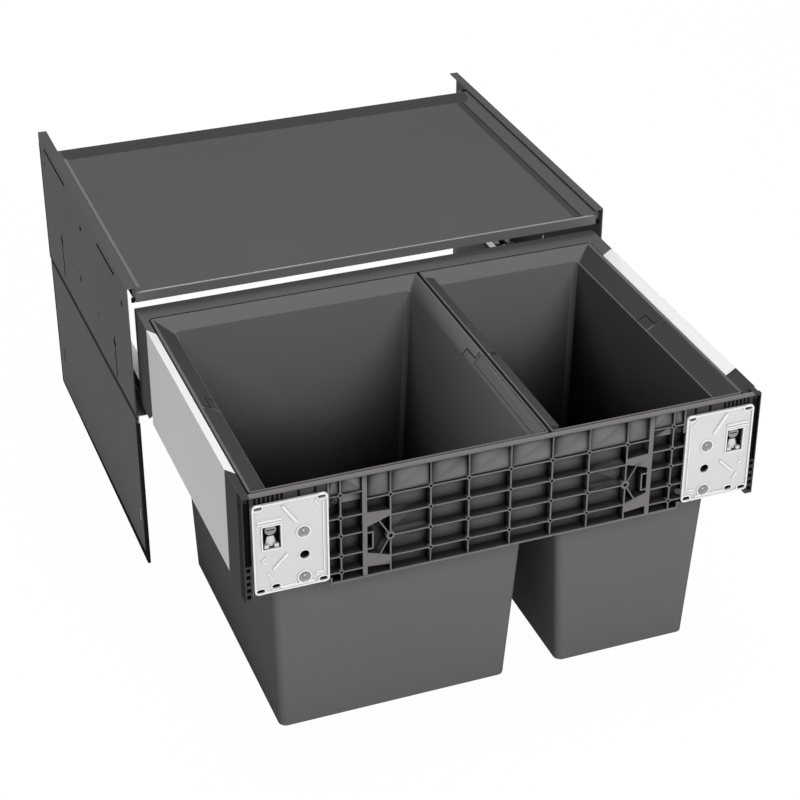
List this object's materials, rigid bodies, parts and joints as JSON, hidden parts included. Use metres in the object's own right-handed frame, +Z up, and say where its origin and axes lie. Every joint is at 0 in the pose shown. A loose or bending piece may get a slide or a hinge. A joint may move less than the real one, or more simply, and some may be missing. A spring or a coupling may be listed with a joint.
{
  "type": "pull-out waste sorter",
  "caption": "Pull-out waste sorter for a base cabinet: bins with fold-down handles in a drawer on runners, between sheet-metal side panels under a lid shelf.",
  "frame": {"origin": "centre of the opened unit's footprint, at the bottom edge of the side panels", "axes": "+X to the right seen from the front, +Y from the front to the back, +Z up"},
  "size_m": [0.562, 0.8386, 0.358],
  "materials": {
    "panel_steel": "powder-coated anthracite sheet, fine texture",
    "lid_steel": "powder-coated anthracite sheet, satin",
    "light_steel": "powder-coated light grey, satin",
    "rail_steel": "zinc-plated steel strip",
    "zinc": "bright zinc die casting",
    "dark_plastic": "moulded dark grey plastic, matte",
    "frame_plastic": "moulded anthracite plastic, matte",
    "bin_plastic": "moulded anthracite plastic, satin",
    "roller_plastic": "moulded acetal"
  },
  "bodies": {
    "housing": {"left_side_panel": "panel_steel", "right_side_panel": "panel_steel", "left_lower_panel": "panel_steel", "right_lower_panel": "panel_steel", "left_cabinet_rail": "rail_steel", "right_cabinet_rail": "rail_steel", "left_rail_bolts": "rail_steel", "right_rail_bolts": "rail_steel", "left_damper": "dark_plastic", "right_damper": "dark_plastic"},
    "lid": {"lid_shelf": "lid_steel"},
    "drawer": {"left_drawer_rail": "rail_steel", "right_drawer_rail": "rail_steel", "left_drawer_side": "light_steel", "right_drawer_side": "light_steel", "left_front_corner": "dark_plastic", "right_front_corner": "dark_plastic", "left_rear_corner": "dark_plastic", "right_rear_corner": "dark_plastic", "rear_panel": "dark_plastic", "front_frame": "frame_plastic", "left_front_plate": "zinc", "right_front_plate": "zinc", "left_plate_screws": "zinc", "right_plate_screws": "zinc", "left_hook": "zinc", "right_hook": "zinc"},
    "left_middle": {"left_middle_rail": "rail_steel"},
    "left_lower_rollers_set": {"left_lower_cage": "roller_plastic", "left_lower_rollers": "roller_plastic"},
    "left_upper_rollers_set": {"left_upper_cage": "roller_plastic", "left_upper_rollers": "roller_plastic"},
    "right_middle": {"right_middle_rail": "rail_steel"},
    "right_lower_rollers_set": {"right_lower_cage": "roller_plastic", "right_lower_rollers": "roller_plastic"},
    "right_upper_rollers_set": {"right_upper_cage": "roller_plastic", "right_upper_rollers": "roller_plastic"},
    "large_bin_body": {"large_bin": "bin_plastic"},
    "small_bin_body": {"small_bin": "bin_plastic"},
    "large_handle_body": {"large_handle": "bin_plastic"},
    "small_handle_body": {"small_handle": "bin_plastic"},
    "left_adjuster_body": {"left_adjuster": "zinc"},
    "right_adjuster_body": {"right_adjuster": "zinc"}
  },
  "joints": [
    {"name": "drawer_slide", "type": "slide", "parent": "housing", "child": "drawer", "axis": [0, -1, 0], "range_m": [-0.386, 0]},
    {"name": "lid_slide", "type": "slide", "parent": "housing", "child": "lid", "axis": [0, 1, 0], "range_m": [-0.44, 0]},
    {"name": "left_middle_slide", "type": "slide", "parent": "housing", "child": "left_middle", "axis": [0, -1, 0], "range_m": [-0.193, 0]},
    {"name": "left_lower_rollers_slide", "type": "slide", "parent": "housing", "child": "left_lower_rollers_set", "axis": [0, -1, 0], "range_m": [-0.0965, 0]},
    {"name": "left_upper_rollers_slide", "type": "slide", "parent": "housing", "child": "left_upper_rollers_set", "axis": [0, -1, 0], "range_m": [-0.2895, 0]},
    {"name": "right_middle_slide", "type": "slide", "parent": "housing", "child": "right_middle", "axis": [0, -1, 0], "range_m": [-0.193, 0]},
    {"name": "right_lower_rollers_slide", "type": "slide", "parent": "housing", "child": "right_lower_rollers_set", "axis": [0, -1, 0], "range_m": [-0.0965, 0]},
    {"name": "right_upper_rollers_slide", "type": "slide", "parent": "housing", "child": "right_upper_rollers_set", "axis": [0, -1, 0], "range_m": [-0.2895, 0]},
    {"name": "large_bin_lift", "type": "slide", "parent": "drawer", "child": "large_bin_body", "axis": [0, 0, 1], "range_m": [0, 0.36]},
    {"name": "small_bin_lift", "type": "slide", "parent": "drawer", "child": "small_bin_body", "axis": [0, 0, 1], "range_m": [0, 0.36]},
    {"name": "large_handle_fold", "type": "hinge", "parent": "large_bin_body", "child": "large_handle_body", "pos_m": [0, -0.2347, 0.3213], "axis": [-1, 0, 0], "range_deg": [0, 90]},
    {"name": "small_handle_fold", "type": "hinge", "parent": "small_bin_body", "child": "small_handle_body", "pos_m": [0, -0.2347, 0.3213], "axis": [-1, 0, 0], "range_deg": [0, 90]},
    {"name": "left_adjuster_turn", "type": "hinge", "parent": "drawer", "child": "left_adjuster_body", "pos_m": [-0.2447, -0.4123, 0.287], "axis": [0, -1, 0], "range_deg": [-90, 90]},
    {"name": "right_adjuster_turn", "type": "hinge", "parent": "drawer", "child": "right_adjuster_body", "pos_m": [0.2447, -0.4123, 0.287], "axis": [0, -1, 0], "range_deg": [-90, 90]}
  ],
  "couplings": [
    {"joint": "left_middle_slide", "follows": "drawer_slide", "ratio": 0.5},
    {"joint": "left_lower_rollers_slide", "follows": "drawer_slide", "ratio": 0.25},
    {"joint": "left_upper_rollers_slide", "follows": "drawer_slide", "ratio": 0.75},
    {"joint": "right_middle_slide", "follows": "drawer_slide", "ratio": 0.5},
    {"joint": "right_lower_rollers_slide", "follows": "drawer_slide", "ratio": 0.25},
    {"joint": "right_upper_rollers_slide", "follows": "drawer_slide", "ratio": 0.75}
  ]
}
